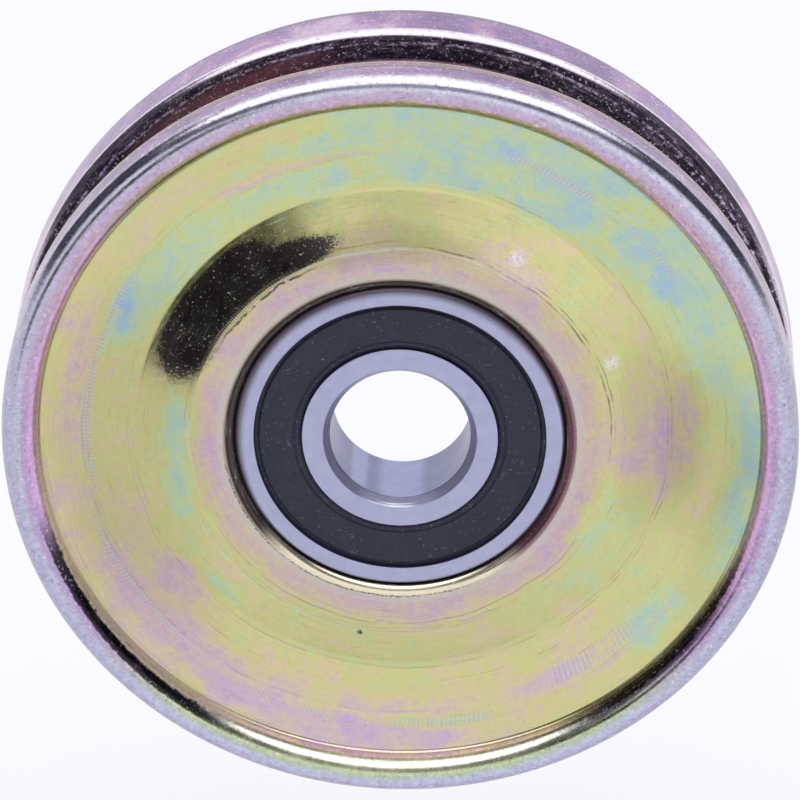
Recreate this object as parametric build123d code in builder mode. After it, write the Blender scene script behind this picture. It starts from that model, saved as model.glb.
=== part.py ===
from build123d import *
import math
import os

# Grooved belt idler pulley on a sealed deep-groove ball bearing.
# Pulley axis along Y, front face towards -Y, +Z up, origin at the centre of the
# bearing's bore. All lengths in millimetres.

os.makedirs("parts", exist_ok=True)

# Side of a mirrored feature: the front faces -Y, the rear faces +Y.
FRONT = -1
REAR = 1

# Bearing envelope (17 x 40 x 12)
bore_radius = 8.5
bearing_outer_radius = 20.0
bearing_half_width = 6.0

# Balls and raceways
ball_count = 8
ball_radius = 3.3735
pitch_radius = 14.25
race_clearance = 0.012
race_radius = 3.45

# Inner ring
inner_land_radius = 11.84
bore_chamfer_radial = 0.81
bore_chamfer_axial = 1.15
inner_edge_break = 0.15

# Outer ring
outer_land_radius = 16.5
outer_corner_rounding = 0.85
seal_shoulder_offset = 4.2
seal_groove_radius = 18.0
seal_groove_offset = 5.2
seal_mouth_radius = 17.65
seal_mouth_offset = 5.35

# Seal: a steel insert with rubber bonded over its outside and both edges
insert_inner_radius = 12.8
insert_outer_radius = 17.3
insert_inside_offset = 4.75
insert_outside_offset = 5.1
insert_flange_offset = 4.3
insert_sheet = 0.35
bead_radius = 17.95
bead_offset = 5.1
rebate_offset = 5.25
rebate_outer_radius = 17.6
rebate_inner_radius = 17.15
seal_face_offset = 5.7
seal_face_outer_radius = 16.95
seal_face_inner_radius = 12.95
seal_edge_rounding = 0.15
lip_groove_offset = 5.55
lip_groove_outer_radius = 12.87
lip_groove_inner_radius = 12.7
lip_ridge_outer_radius = 12.62
lip_ridge_inner_radius = 12.3
lip_running_clearance = 0.05
lip_outer_offset = 5.42
lip_inner_offset = 5.2
lip_root_radius = 12.4

# Pressed cage
cage_sheet = 0.6
cage_inner_radius = 13.1
cage_outer_radius = 15.4
pocket_clearance = 0.1
rivet_radius = 0.55
rivet_head_radius = 0.95
rivet_head_height = 0.35
rivet_crown_radius = 0.7

# Pulley
pulley_mid_y = 2.8
pulley_outer_radius = 48.0
rim_half_width = 11.4
rim_wall_radius = 43.6
rim_inner_roll = 2.4
rim_corner_roll = 1.65
rim_groove_roll = 1.2
front_groove_roll_offset = 6.25
rear_groove_roll_offset = 4.2
dish_foot_offset = 8.7
dish_foot_fillet = 0.7
crease_radius = 32.4
crease_offset = 6.5
crease_rounding = 2.5
groove_half_angle = math.radians(20)
groove_floor_radius = 41.5
floor_ring_inner_radius = 38.5

# Hub of the front disc: flat collar, cone and drawn tube
hub_face_y = -6.3
hub_mouth_rounding = 1.2
hub_collar_radius = 25.3
hub_collar_rounding = 1.0
hub_tube_radius = 23.0
hub_tube_end_y = 9.3
hub_tube_edge_rounding = 0.4
hub_back_y = -3.3
hub_back_radius = 25.0
hub_back_fillet = 1.5
cone_back_radius = 32.4
shoulder_radius = 17.9
shoulder_edge_rounding = 0.5

# Rear disc
rear_web_back_offset = 3.1
rear_web_back_radius = 36.4
rear_hole_edge_rounding = 0.4


def axial(side, offset):
    """Y of a point at a distance from the pulley's mid-plane on one side."""
    return pulley_mid_y + side * offset


def nearest(profile, radius, y):
    """The profile's corner closest to a radius and a Y."""
    return profile.vertices().sort_by_distance((radius, y, 0))[0]


def on_roll(centre_radius, centre_offset, roll, angle, side):
    """A point on a rolled edge, the angle taken from outward towards the rim's crest."""
    return (
        centre_radius + roll * math.cos(angle),
        axial(side, centre_offset + roll * math.sin(angle)),
    )


# Rim roll centres, as radius and distance from the pulley's mid-plane
crest_centre_radius = rim_wall_radius + rim_inner_roll
crest_centre_offset = rim_half_width - rim_inner_roll
corner_centre_radius = pulley_outer_radius - rim_corner_roll
roll_difference = rim_inner_roll - rim_corner_roll
corner_shift = corner_centre_radius - crest_centre_radius
corner_rise = math.sqrt(roll_difference**2 - corner_shift**2)
corner_centre_offset = crest_centre_offset + corner_rise
groove_roll_centre_radius = pulley_outer_radius - rim_groove_roll

# Angles on the rolls
foot_angle = math.pi + math.asin((crest_centre_offset - dish_foot_offset) / rim_inner_roll)
blend_angle = math.atan2(corner_rise, corner_shift)
flank_angle = groove_half_angle - math.pi / 2
half = 0.5

# Groove flanks and floor, which sit nearer to the front rim's edge than to the rear's
groove_roll_offset = {FRONT: front_groove_roll_offset, REAR: rear_groove_roll_offset}
flank_top_radius = groove_roll_centre_radius + rim_groove_roll * math.cos(flank_angle)
flank_drop = rim_groove_roll * math.sin(flank_angle)
flank_run = (flank_top_radius - groove_floor_radius) * math.tan(groove_half_angle)
floor_offset = {side: groove_roll_offset[side] + flank_drop - flank_run for side in (FRONT, REAR)}
floor_width = floor_offset[FRONT] + floor_offset[REAR]
floor_mid_y = pulley_mid_y + half * (floor_offset[REAR] - floor_offset[FRONT])
foot_radius = crest_centre_radius + rim_inner_roll * math.cos(foot_angle)


def draw_rim(side):
    """Rolled rim and groove flank, from the foot of the wall down to the groove's floor."""
    ThreePointArc(
        on_roll(crest_centre_radius, crest_centre_offset, rim_inner_roll, foot_angle, side),
        on_roll(
            crest_centre_radius,
            crest_centre_offset,
            rim_inner_roll,
            half * (foot_angle + blend_angle),
            side,
        ),
        on_roll(crest_centre_radius, crest_centre_offset, rim_inner_roll, blend_angle, side),
    )
    ThreePointArc(
        on_roll(crest_centre_radius, crest_centre_offset, rim_inner_roll, blend_angle, side),
        on_roll(
            corner_centre_radius,
            corner_centre_offset,
            rim_corner_roll,
            half * blend_angle,
            side,
        ),
        on_roll(corner_centre_radius, corner_centre_offset, rim_corner_roll, 0, side),
    )
    Line(
        (pulley_outer_radius, axial(side, corner_centre_offset)),
        (pulley_outer_radius, axial(side, groove_roll_offset[side])),
    )
    ThreePointArc(
        (pulley_outer_radius, axial(side, groove_roll_offset[side])),
        on_roll(
            groove_roll_centre_radius,
            groove_roll_offset[side],
            rim_groove_roll,
            half * flank_angle,
            side,
        ),
        (flank_top_radius, axial(side, groove_roll_offset[side] + flank_drop)),
    )
    Line(
        (flank_top_radius, axial(side, groove_roll_offset[side] + flank_drop)),
        (groove_floor_radius, axial(side, floor_offset[side])),
    )


def ring_points(radius, start_angle):
    """Evenly spaced points on a circle about the Y axis."""
    step = 2 * math.pi / ball_count
    angles = [start_angle + step * index for index in range(ball_count)]
    return [(radius * math.cos(angle), 0, radius * math.sin(angle)) for angle in angles]


ball_centres = ring_points(pitch_radius, math.pi / 2)
rivet_centres = ring_points(pitch_radius, math.pi / 2 + math.pi / ball_count)


# Front disc: collar, cone, dished web, rolled rim and groove flank, with the drawn
# hub tube that holds the bearing against a shoulder at its rear end.
with BuildPart() as front_shell:
    with BuildSketch(Plane.XY) as front_profile:
        with BuildLine():
            Polyline(
                (bearing_outer_radius, hub_face_y),
                (hub_collar_radius, hub_face_y),
                (crease_radius, axial(FRONT, crease_offset)),
                (foot_radius, axial(FRONT, dish_foot_offset)),
            )
            draw_rim(FRONT)
            Polyline(
                (groove_floor_radius, axial(FRONT, floor_offset[FRONT])),
                (cone_back_radius, axial(FRONT, floor_offset[FRONT])),
                (hub_back_radius, hub_back_y),
                (hub_tube_radius, hub_back_y),
                (hub_tube_radius, hub_tube_end_y),
                (shoulder_radius, hub_tube_end_y),
                (shoulder_radius, bearing_half_width),
                (bearing_outer_radius, bearing_half_width),
                (bearing_outer_radius, hub_face_y),
            )
        make_face()
        fillet(nearest(front_profile, bearing_outer_radius, hub_face_y), hub_mouth_rounding)
        fillet(nearest(front_profile, hub_collar_radius, hub_face_y), hub_collar_rounding)
        fillet(
            nearest(front_profile, crease_radius, axial(FRONT, crease_offset)),
            crease_rounding,
        )
        fillet(
            nearest(front_profile, foot_radius, axial(FRONT, dish_foot_offset)),
            dish_foot_fillet,
        )
        fillet(nearest(front_profile, hub_tube_radius, hub_back_y), hub_back_fillet)
        fillet(
            nearest(front_profile, hub_tube_radius, hub_tube_end_y),
            hub_tube_edge_rounding,
        )
        fillet(
            nearest(front_profile, shoulder_radius, hub_tube_end_y),
            shoulder_edge_rounding,
        )
    revolve(axis=Axis.Y)
front_shell.part.label = "front_shell"
export_step(front_shell.part, "parts/front_shell.step")

# Rear disc: flat collar round the hub tube, dished web, rolled rim and groove flank.
with BuildPart() as rear_shell:
    with BuildSketch(Plane.XY) as rear_profile:
        with BuildLine():
            Polyline(
                (hub_tube_radius, axial(REAR, crease_offset)),
                (crease_radius, axial(REAR, crease_offset)),
                (foot_radius, axial(REAR, dish_foot_offset)),
            )
            draw_rim(REAR)
            Polyline(
                (groove_floor_radius, axial(REAR, floor_offset[REAR])),
                (floor_ring_inner_radius, axial(REAR, floor_offset[REAR])),
                (rear_web_back_radius, axial(REAR, rear_web_back_offset)),
                (hub_tube_radius, axial(REAR, rear_web_back_offset)),
                (hub_tube_radius, axial(REAR, crease_offset)),
            )
        make_face()
        fillet(
            nearest(rear_profile, crease_radius, axial(REAR, crease_offset)),
            crease_rounding,
        )
        fillet(
            nearest(rear_profile, foot_radius, axial(REAR, dish_foot_offset)),
            dish_foot_fillet,
        )
        fillet(
            nearest(rear_profile, hub_tube_radius, axial(REAR, crease_offset)),
            rear_hole_edge_rounding,
        )
    revolve(axis=Axis.Y)
rear_shell.part.label = "rear_shell"
export_step(rear_shell.part, "parts/rear_shell.step")

# Spacer ring between the two discs, the floor of the belt groove.
with BuildPart() as groove_ring:
    with BuildSketch(Plane.XY):
        with Locations((half * (floor_ring_inner_radius + groove_floor_radius), floor_mid_y)):
            Rectangle(groove_floor_radius - floor_ring_inner_radius, floor_width)
    revolve(axis=Axis.Y)
groove_ring.part.label = "groove_ring"
export_step(groove_ring.part, "parts/groove_ring.step")

# Bearing inner ring with its raceway
inner_race_centre = pitch_radius - ball_radius - race_clearance + race_radius
inner_race_angle = math.acos((inner_race_centre - inner_land_radius) / race_radius)
with BuildPart() as inner_ring:
    with BuildSketch(Plane.XY):
        with BuildLine():
            inner_race = CenterArc(
                (inner_race_centre, 0),
                race_radius,
                180,
                -math.degrees(inner_race_angle),
            )
            Polyline(
                inner_race @ 1,
                (inner_land_radius, bearing_half_width - inner_edge_break),
                (inner_land_radius - inner_edge_break, bearing_half_width),
                (bore_radius + bore_chamfer_radial, bearing_half_width),
                (bore_radius, bearing_half_width - bore_chamfer_axial),
                (bore_radius, 0),
                inner_race @ 0,
            )
        make_face()
        mirror(about=Plane.XZ)
    revolve(axis=Axis.Y)
inner_ring.part.label = "inner_ring"
export_step(inner_ring.part, "parts/inner_ring.step")

# Bearing outer ring with its raceway and the two seal grooves
outer_race_centre = pitch_radius + ball_radius + race_clearance - race_radius
outer_race_angle = math.acos((outer_land_radius - outer_race_centre) / race_radius)
with BuildPart() as outer_ring:
    with BuildSketch(Plane.XY) as outer_profile:
        with BuildLine():
            outer_race = CenterArc(
                (outer_race_centre, 0),
                race_radius,
                0,
                math.degrees(outer_race_angle),
            )
            Polyline(
                outer_race @ 1,
                (outer_land_radius, seal_shoulder_offset),
                (seal_groove_radius, seal_shoulder_offset),
                (seal_groove_radius, seal_groove_offset),
                (seal_mouth_radius, seal_mouth_offset),
                (seal_mouth_radius, bearing_half_width),
                (bearing_outer_radius, bearing_half_width),
                (bearing_outer_radius, 0),
                outer_race @ 0,
            )
        make_face()
        fillet(
            nearest(outer_profile, bearing_outer_radius, bearing_half_width),
            outer_corner_rounding,
        )
        mirror(about=Plane.XZ)
    revolve(axis=Axis.Y)
outer_ring.part.label = "outer_ring"
export_step(outer_ring.part, "parts/outer_ring.step")

# Balls, each a body of its own
for number, centre in enumerate(ball_centres, start=1):
    with BuildPart() as ball:
        with Locations(centre):
            Sphere(ball_radius)
    ball.part.label = f"ball_{number}"
    export_step(ball.part, f"parts/ball_{number}.step")

# Cage halves: a flat ribbon cupped round each ball, riveted between the balls
cup_radius = ball_radius + pocket_clearance + cage_sheet
cage_mid_radius = half * (cage_inner_radius + cage_outer_radius)
cage_radial_width = cage_outer_radius - cage_inner_radius
for side, name in ((FRONT, "cage_front"), (REAR, "cage_rear")):
    with BuildPart() as cage_half:
        with BuildSketch(Plane.XY):
            with Locations((cage_mid_radius, side * half * cage_sheet)):
                Rectangle(cage_radial_width, cage_sheet)
        revolve(axis=Axis.Y)
        with Locations(*ball_centres):
            Sphere(cup_radius)
        with BuildSketch(Plane.XY):
            with Locations((cage_mid_radius, side * half * cup_radius)):
                Rectangle(cage_radial_width, cup_radius)
        revolve(axis=Axis.Y, mode=Mode.INTERSECT)
        with Locations(*ball_centres):
            Sphere(ball_radius + pocket_clearance, mode=Mode.SUBTRACT)
        with Locations(*rivet_centres):
            Cylinder(rivet_radius, 2 * cup_radius, rotation=(90, 0, 0), mode=Mode.SUBTRACT)
    cage_half.part.label = name
    export_step(cage_half.part, f"parts/{name}.step")

# Rivets that hold the cage halves together, one node of identical solids
with BuildPart() as cage_rivets:
    with Locations(*rivet_centres):
        Cylinder(rivet_radius, 2 * cage_sheet, rotation=(90, 0, 0))
    for side in (FRONT, REAR):
        head_y = side * (cage_sheet + half * rivet_head_height)
        with Locations(*[(x, head_y, z) for x, _, z in rivet_centres]):
            Cone(
                rivet_head_radius,
                rivet_crown_radius,
                rivet_head_height,
                rotation=(-side * 90, 0, 0),
            )
cage_rivets.part.label = "cage_rivets"
export_step(cage_rivets.part, "parts/cage_rivets.step")

# Seals, one at each side of the bearing
lip_radius = inner_land_radius + lip_running_clearance
for side, name in ((FRONT, "front"), (REAR, "rear")):
    with BuildPart() as seal_rubber:
        with BuildSketch(Plane.XY) as rubber_profile:
            with BuildLine():
                Polyline(
                    (insert_outer_radius, side * insert_flange_offset),
                    (bead_radius, side * insert_flange_offset),
                    (bead_radius, side * bead_offset),
                    (rebate_outer_radius, side * rebate_offset),
                    (rebate_inner_radius, side * rebate_offset),
                    (seal_face_outer_radius, side * seal_face_offset),
                    (seal_face_inner_radius, side * seal_face_offset),
                    (lip_groove_outer_radius, side * lip_groove_offset),
                    (lip_groove_inner_radius, side * lip_groove_offset),
                    (lip_ridge_outer_radius, side * seal_face_offset),
                    (lip_ridge_inner_radius, side * seal_face_offset),
                    (lip_radius, side * lip_outer_offset),
                    (lip_radius, side * lip_inner_offset),
                    (lip_root_radius, side * insert_inside_offset),
                    (insert_inner_radius, side * insert_inside_offset),
                    (insert_inner_radius, side * insert_outside_offset),
                    (insert_outer_radius, side * insert_outside_offset),
                    close=True,
                )
            make_face()
            fillet(
                nearest(rubber_profile, seal_face_outer_radius, side * seal_face_offset),
                seal_edge_rounding,
            )
            fillet(
                nearest(rubber_profile, lip_ridge_inner_radius, side * seal_face_offset),
                seal_edge_rounding,
            )
        revolve(axis=Axis.Y)
    seal_rubber.part.label = f"{name}_seal_rubber"
    export_step(seal_rubber.part, f"parts/{name}_seal_rubber.step")

    with BuildPart() as seal_insert:
        with BuildSketch(Plane.XY):
            with BuildLine():
                Polyline(
                    (insert_inner_radius, side * insert_inside_offset),
                    (insert_inner_radius, side * insert_outside_offset),
                    (insert_outer_radius, side * insert_outside_offset),
                    (insert_outer_radius, side * insert_flange_offset),
                    (insert_outer_radius - insert_sheet, side * insert_flange_offset),
                    (insert_outer_radius - insert_sheet, side * insert_inside_offset),
                    close=True,
                )
            make_face()
        revolve(axis=Axis.Y)
    seal_insert.part.label = f"{name}_seal_insert"
    export_step(seal_insert.part, f"parts/{name}_seal_insert.step")
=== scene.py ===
import math

import bmesh
import bpy
from mathutils import Matrix, Vector


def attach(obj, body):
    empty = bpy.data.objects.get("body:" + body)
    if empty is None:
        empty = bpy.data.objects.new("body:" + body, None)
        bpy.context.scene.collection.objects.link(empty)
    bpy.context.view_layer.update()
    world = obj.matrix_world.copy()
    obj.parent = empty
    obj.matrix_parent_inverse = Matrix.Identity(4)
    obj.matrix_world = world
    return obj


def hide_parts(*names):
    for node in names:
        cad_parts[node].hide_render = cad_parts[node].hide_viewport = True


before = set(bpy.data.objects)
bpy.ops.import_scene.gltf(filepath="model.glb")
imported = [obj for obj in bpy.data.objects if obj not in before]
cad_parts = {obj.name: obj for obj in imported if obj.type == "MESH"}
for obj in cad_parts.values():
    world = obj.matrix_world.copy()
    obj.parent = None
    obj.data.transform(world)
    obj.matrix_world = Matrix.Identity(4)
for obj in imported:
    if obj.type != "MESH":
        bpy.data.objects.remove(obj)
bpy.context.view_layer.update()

MM = 0.001
DEGREES = 180 / math.pi
SEGMENTS = 576
FRONT = -1
REAR = 1

# Bearing, in millimetres
BORE_R = 8.5
BEARING_R = 20.0
BEARING_HALF = 6.0
SEAL_SEAT_R = 17.65
INSERT_R = (12.8, 17.3)
PITCH_R = 14.25
BALL_R = 3.3735
RACE_R = 3.45
RACE_CLEARANCE = 0.012
INNER_LAND_R = 11.84
OUTER_LAND_R = 16.5

# Pulley, in millimetres; offsets run outwards from the pulley's mid-plane
MID_Y = 2.8
OUTER_R = 48.0
HALF_WIDTH = 11.4
WALL_R = 43.6
INNER_ROLL = 2.4
CORNER_ROLL = 1.65
GROOVE_ROLL = 1.2
GROOVE_ROLL_OFFSET = {FRONT: 6.25, REAR: 4.2}
FOOT_OFFSET = 8.7
FOOT_FILLET = 0.7
CREASE_R = 32.4
CREASE_OFFSET = 6.5
CREASE_ROUNDING = 2.5
FLOOR_R = 41.5
FLOOR_INNER_R = 38.5
REAR_BACK = (36.4, 3.1)
COLLAR_R = 25.3
COLLAR_OFFSET = 9.1
TUBE_R = 23.0
TUBE_ROOT_OFFSET = 6.1
TUBE_END_OFFSET = -6.5
SHOULDER_R = 17.9
SHOULDER_OFFSET = -3.2
HALF_ANGLE = math.radians(20)

CREST_C = (WALL_R + INNER_ROLL, HALF_WIDTH - INNER_ROLL)
CORNER_C_R = OUTER_R - CORNER_ROLL
CORNER_SHIFT = CORNER_C_R - CREST_C[0]
CORNER_RISE = math.sqrt((INNER_ROLL - CORNER_ROLL) ** 2 - CORNER_SHIFT**2)
CORNER_C = (CORNER_C_R, CREST_C[1] + CORNER_RISE)
GROOVE_C_R = OUTER_R - GROOVE_ROLL
BLEND_ANGLE = math.atan2(CORNER_RISE, CORNER_SHIFT)
FLANK_ANGLE = HALF_ANGLE - math.pi / 2
FLANK_TOP_R = GROOVE_C_R + GROOVE_ROLL * math.cos(FLANK_ANGLE)
FLANK_DROP = GROOVE_ROLL * math.sin(FLANK_ANGLE)
FLANK_RUN = (FLANK_TOP_R - FLOOR_R) * math.tan(HALF_ANGLE)
FLOOR_OFFSET = {side: GROOVE_ROLL_OFFSET[side] + FLANK_DROP - FLANK_RUN for side in (FRONT, REAR)}


# ---------------------------------------------------------------- profiles


def arc(centre, radius, start, end, step=math.radians(5)):
    """Points along an arc of a profile, ends included."""
    count = max(2, int(math.ceil(abs(end - start) / step)))
    return [
        (
            centre[0] + radius * math.cos(start + (end - start) * i / count),
            centre[1] + radius * math.sin(start + (end - start) * i / count),
        )
        for i in range(count + 1)
    ]


def straight(a, b, margin=0.15, spacing=1.2):
    """Inner points of a straight run, with a close pair at its ends so that the shading stays flat."""
    length = math.dist(a, b)
    if length < 3 * margin:
        return []
    count = max(1, int((length - 2 * margin) / spacing))
    runs = [margin + (length - 2 * margin) * i / count for i in range(count + 1)]
    return [
        (a[0] + (b[0] - a[0]) * t / length, a[1] + (b[1] - a[1]) * t / length) for t in runs
    ]


def corner(previous, point, following, radius):
    """The arc that rounds a corner between two straight runs."""
    if radius == 0:
        return [point]
    u = (Vector(previous) - Vector(point)).normalized()
    v = (Vector(following) - Vector(point)).normalized()
    half = math.acos(max(-1, min(1, u.dot(v)))) / 2
    centre = Vector(point) + (u + v).normalized() * radius / math.sin(half)
    start = Vector(point) + u * radius / math.tan(half) - centre
    end = Vector(point) + v * radius / math.tan(half) - centre
    a = math.atan2(start.y, start.x)
    sweep = math.atan2(start.x * end.y - start.y * end.x, start.dot(end))
    return arc(centre, radius, a, a + sweep)


def run(points, closed=False):
    """A chain of straight runs with rounded corners; each point is (radius, offset, rounding)."""
    chain = []
    count = len(points)
    for i, (r, o, rounding) in enumerate(points):
        first, last = i == 0, i == count - 1
        if not closed and (first or last):
            piece = [(r, o)]
        else:
            piece = corner(points[i - 1][:2], (r, o), points[(i + 1) % count][:2], rounding)
        if chain:
            chain += straight(chain[-1], piece[0])
        chain += piece
    if closed:
        chain += straight(chain[-1], chain[0])
    return chain


def rim_profile(side):
    """Foot fillet, wall, crest, outer corner, land, groove roll and flank of one disc."""
    crease = Vector((CREASE_R, CREASE_OFFSET))
    crest = Vector(CREST_C)
    foot_r = CREST_C[0] - math.sqrt(INNER_ROLL**2 - (CREST_C[1] - FOOT_OFFSET) ** 2)
    along = (Vector((foot_r, FOOT_OFFSET)) - crease).normalized()
    outward = Vector((-along.y, along.x))
    base = crease + outward * FOOT_FILLET - crest
    reach = INNER_ROLL + FOOT_FILLET
    b = base.dot(along)
    s = -b - math.sqrt(b * b - base.dot(base) + reach**2)
    centre = crest + base + along * s
    on_line = centre - outward * FOOT_FILLET
    on_wall = crest + (centre - crest) * INNER_ROLL / reach
    start = math.atan2(on_line.y - centre.y, on_line.x - centre.x)
    end = math.atan2(on_wall.y - centre.y, on_wall.x - centre.x)
    wall_angle = math.atan2(on_wall.y - crest.y, on_wall.x - crest.x)
    if wall_angle < 0:
        wall_angle += 2 * math.pi
    points = arc(centre, FOOT_FILLET, start, end)
    points += arc(CREST_C, INNER_ROLL, wall_angle, BLEND_ANGLE, math.radians(3))[1:]
    points += arc(CORNER_C, CORNER_ROLL, BLEND_ANGLE, 0, math.radians(4))[1:]
    land = (OUTER_R, GROOVE_ROLL_OFFSET[side])
    points += straight(points[-1], land)
    points += arc((GROOVE_C_R, GROOVE_ROLL_OFFSET[side]), GROOVE_ROLL, 0, FLANK_ANGLE, math.radians(4))
    points += straight(points[-1], (FLOOR_R, FLOOR_OFFSET[side]))
    points += [(FLOOR_R, FLOOR_OFFSET[side])]
    return points


front_rim = rim_profile(FRONT)
rear_rim = rim_profile(REAR)

front_disc_profile = (
    run(
        [
            (BEARING_R, SHOULDER_OFFSET, 0),
            (BEARING_R, COLLAR_OFFSET, 1.2),
            (COLLAR_R, COLLAR_OFFSET, 1.0),
            (CREASE_R, CREASE_OFFSET, CREASE_ROUNDING),
            (*front_rim[0], 0),
        ]
    )
    + front_rim[1:]
    + run(
        [
            (*front_rim[-1], 0),
            (CREASE_R, FLOOR_OFFSET[FRONT], 0),
            (25.0, TUBE_ROOT_OFFSET, 0),
            (TUBE_R, TUBE_ROOT_OFFSET, 1.5),
            (TUBE_R, TUBE_END_OFFSET, 0.4),
            (SHOULDER_R, TUBE_END_OFFSET, 0.5),
            (SHOULDER_R, SHOULDER_OFFSET, 0),
            (BEARING_R, SHOULDER_OFFSET, 0),
        ]
    )[1:-1]
)
rear_disc_profile = (
    run(
        [
            (TUBE_R, REAR_BACK[1], 0),
            (TUBE_R, CREASE_OFFSET, 0.4),
            (CREASE_R, CREASE_OFFSET, CREASE_ROUNDING),
            (*rear_rim[0], 0),
        ]
    )
    + rear_rim[1:]
    + run(
        [
            (*rear_rim[-1], 0),
            (FLOOR_INNER_R, FLOOR_OFFSET[REAR], 0),
            (*REAR_BACK, 0),
            (TUBE_R, REAR_BACK[1], 0),
        ]
    )[1:-1]
)
floor_profile = run(
    [
        (FLOOR_INNER_R, -FLOOR_OFFSET[FRONT], 0),
        (FLOOR_R, -FLOOR_OFFSET[FRONT], 0),
        (FLOOR_R, FLOOR_OFFSET[REAR], 0),
        (FLOOR_INNER_R, FLOOR_OFFSET[REAR], 0),
    ],
    closed=True,
)

inner_race_c = PITCH_R - BALL_R - RACE_CLEARANCE + RACE_R
inner_race_a = math.acos((inner_race_c - INNER_LAND_R) / RACE_R)
half_inner = arc((inner_race_c, 0), RACE_R, math.pi, math.pi - inner_race_a)[:-1] + run(
    [
        (INNER_LAND_R, RACE_R * math.sin(inner_race_a), 0),
        (INNER_LAND_R, BEARING_HALF, 0.12),
        (9.31, BEARING_HALF, 0.08),
        (BORE_R, 4.85, 0.25),
        (BORE_R, 0, 0),
    ]
)
inner_profile = half_inner + [(r, -y) for r, y in reversed(half_inner[1:-1])]

outer_race_c = PITCH_R + BALL_R + RACE_CLEARANCE - RACE_R
outer_race_a = math.acos((OUTER_LAND_R - outer_race_c) / RACE_R)
half_outer = arc((outer_race_c, 0), RACE_R, 0, outer_race_a)[:-1] + run(
    [
        (OUTER_LAND_R, RACE_R * math.sin(outer_race_a), 0),
        (OUTER_LAND_R, 4.2, 0),
        (18.0, 4.2, 0),
        (18.0, 5.2, 0),
        (SEAL_SEAT_R, 5.35, 0.05),
        (SEAL_SEAT_R, BEARING_HALF, 0.08),
        (BEARING_R, BEARING_HALF, 0.85),
        (BEARING_R, 0, 0),
    ]
)
outer_profile = half_outer + [(r, -y) for r, y in reversed(half_outer[1:-1])]

rubber_profile = run(
    [
        (INSERT_R[1], 4.3, 0),
        (17.95, 4.3, 0.1),
        (17.95, 5.1, 0.1),
        (17.6, 5.25, 0.1),
        (17.15, 5.25, 0.12),
        (16.95, 5.7, 0.15),
        (12.95, 5.7, 0.06),
        (12.87, 5.55, 0.04),
        (12.7, 5.55, 0.04),
        (12.62, 5.7, 0.05),
        (12.3, 5.7, 0.12),
        (11.89, 5.42, 0.05),
        (11.89, 5.2, 0.05),
        (12.4, 4.75, 0.1),
        (INSERT_R[0], 4.75, 0),
        (INSERT_R[0], 5.1, 0),
        (INSERT_R[1], 5.1, 0),
    ],
    closed=True,
)
insert_profile = run(
    [
        (INSERT_R[0], 4.75, 0),
        (INSERT_R[0], 5.1, 0),
        (INSERT_R[1], 5.1, 0.15),
        (INSERT_R[1], 4.3, 0),
        (16.95, 4.3, 0),
        (16.95, 4.75, 0),
    ],
    closed=True,
)


def lathe(name, profile, side=REAR, mid=0.0, segments=SEGMENTS, sharp=35):
    """Turns a closed profile of (radius, offset) about the Y axis; side mirrors it to the front or rear."""
    mesh = bpy.data.meshes.new(name)
    bm = bmesh.new()
    rings = []
    turns = [2 * math.pi * i / segments for i in range(segments)]
    for r, offset in profile:
        y = (mid + side * offset) * MM
        rings.append([bm.verts.new((r * MM * math.cos(a), y, r * MM * math.sin(a))) for a in turns])
    for j, ring in enumerate(rings):
        following = rings[(j + 1) % len(rings)]
        for i in range(segments):
            k = (i + 1) % segments
            bm.faces.new((ring[i], ring[k], following[k], following[i]))
    bmesh.ops.recalc_face_normals(bm, faces=bm.faces)
    bm.to_mesh(mesh)
    bm.free()
    mesh.shade_smooth()
    mesh.set_sharp_from_angle(angle=math.radians(sharp))
    piece = bpy.data.objects.new(name, mesh)
    bpy.context.scene.collection.objects.link(piece)
    return piece


# ---------------------------------------------------------------- node helpers


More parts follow.
